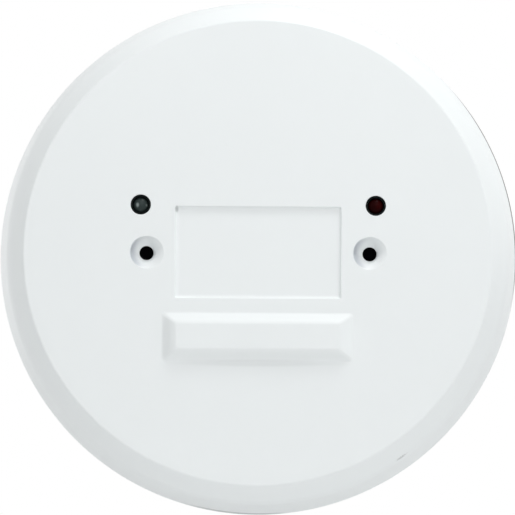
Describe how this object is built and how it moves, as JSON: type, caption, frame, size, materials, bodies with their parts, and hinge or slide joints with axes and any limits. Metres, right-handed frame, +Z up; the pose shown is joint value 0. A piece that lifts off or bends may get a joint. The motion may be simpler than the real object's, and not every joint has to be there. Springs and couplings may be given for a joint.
{
  "type": "smoke detector relay module",
  "caption": "Round white relay module for smoke alarms: a low bevelled cover with two indicator lights and two dished screw holes, and a tub behind it that reaches into the wiring box.",
  "frame": {"origin": "midway between the two box-screw holes, on the plane of the wall that the cover's rim rests on", "axes": "+Z up, the cover's face looks towards -Y, +Y goes into the wiring box, +X to the right seen from the front"},
  "size_m": [0.1618, 0.0437, 0.1618],
  "materials": {
    "cover_white": "satin",
    "housing_white": "satin",
    "holder_black": "matt",
    "power_lens": "clear epoxy",
    "relay_lens": "tinted epoxy",
    "bush_rubber": "matt",
    "zinc_steel": "zinc plated",
    "board_green": "solder mask",
    "film_yellow": "moulded",
    "can_sleeve": "sleeve",
    "varistor_blue": "dipped",
    "fuse_brown": "moulded",
    "resistor_tan": "lacquered",
    "surge_grey": "lacquered",
    "diode_black": "moulded",
    "chip_black": "moulded",
    "relay_case": "moulded",
    "relay_base_black": "moulded",
    "bobbin_white": "moulded",
    "copper_wire": "enamelled",
    "relay_iron": "nickel plated",
    "spring_bronze": "rolled strip",
    "pin_brass": "tinned",
    "contact_silver": "polished"
  },
  "bodies": {
    "module": {"cover_plate": "cover_white", "rear_housing": "housing_white", "supply_grommet": "bush_rubber", "contact_grommet": "bush_rubber", "housing_screws": "zinc_steel", "board_screws": "zinc_steel", "circuit_board": "board_green", "power_led": "power_lens", "relay_led": "relay_lens", "power_led_holder": "holder_black", "relay_led_holder": "holder_black", "film_capacitor": "film_yellow", "smoothing_capacitor": "can_sleeve", "varistor": "varistor_blue", "fuse": "fuse_brown", "surge_resistor": "surge_grey", "resistors": "resistor_tan", "zener_diode": "diode_black", "flyback_diode": "diode_black", "bridge_rectifier": "chip_black", "optocoupler": "chip_black", "transistor": "chip_black", "relay_cover": "relay_case", "relay_base": "relay_base_black", "relay_yoke": "relay_iron", "relay_core": "relay_iron", "coil_bobbin": "bobbin_white", "coil_winding": "copper_wire", "coil_pins": "pin_brass", "common_terminal": "pin_brass", "open_contact_terminal": "pin_brass", "closed_contact_terminal": "pin_brass", "fixed_contacts": "contact_silver", "return_spring": "spring_bronze"},
    "armature_assembly": {"armature": "relay_iron", "contact_blade": "spring_bronze", "blade_rivets": "pin_brass", "moving_contact": "contact_silver"}
  },
  "joints": [
    {"name": "armature_hinge", "type": "hinge", "parent": "module", "child": "armature_assembly", "pos_m": [0.0172, 0.0126, -0.0074], "axis": [1, 0, 0], "range_deg": [0, 3], "stiffness_Nm_per_rad": 0.02, "springref_deg": -6.88}
  ]
}
